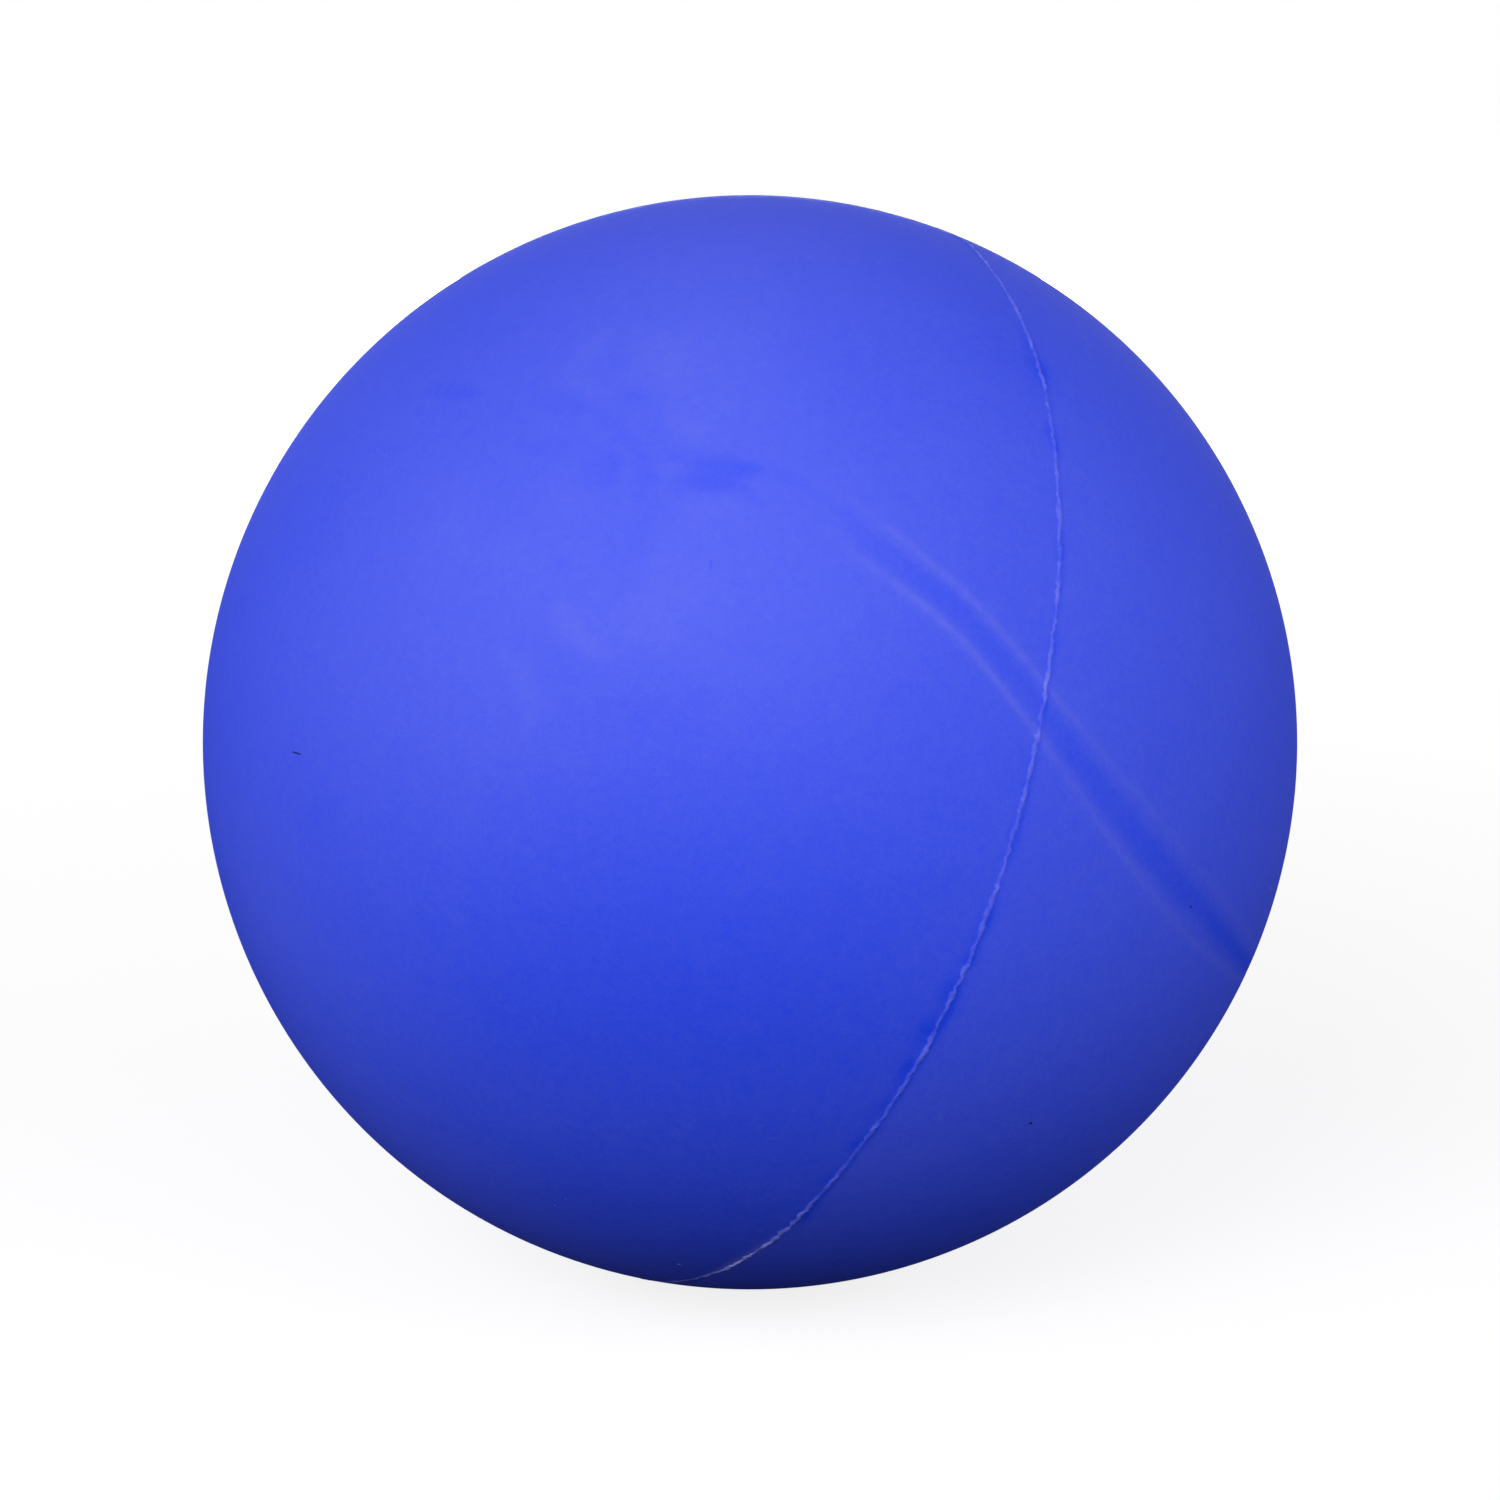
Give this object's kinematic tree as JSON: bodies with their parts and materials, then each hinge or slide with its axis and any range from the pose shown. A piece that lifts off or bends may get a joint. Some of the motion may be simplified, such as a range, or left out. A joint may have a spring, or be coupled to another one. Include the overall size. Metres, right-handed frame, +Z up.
{
  "type": "foam ball",
  "caption": "Hand-size moulded foam ball: soft foam core, denser integral skin that parts on a tilted plane, and a low trimmed flash between the skin's halves.",
  "frame": {"origin": "centre of the ball", "axes": "+Z up, square to the flat that the ball rests on; -Y is the front, which the flow track crosses; the mould's axis is tilted, 19 degrees above the XY plane"},
  "size_m": [0.07, 0.07, 0.0696],
  "materials": {
    "foam_skin": "satin integral skin of polyurethane foam, deep blue with a faint milky bloom",
    "foam_flash": "trimmed edge of the same foam, slightly paler and rough",
    "soft_foam": "matt open-celled polyurethane foam"
  },
  "bodies": {
    "root": {"foam_core": "soft_foam", "skin_left": "foam_skin", "skin_right": "foam_skin", "parting_flash": "foam_flash"}
  },
  "joints": []
}
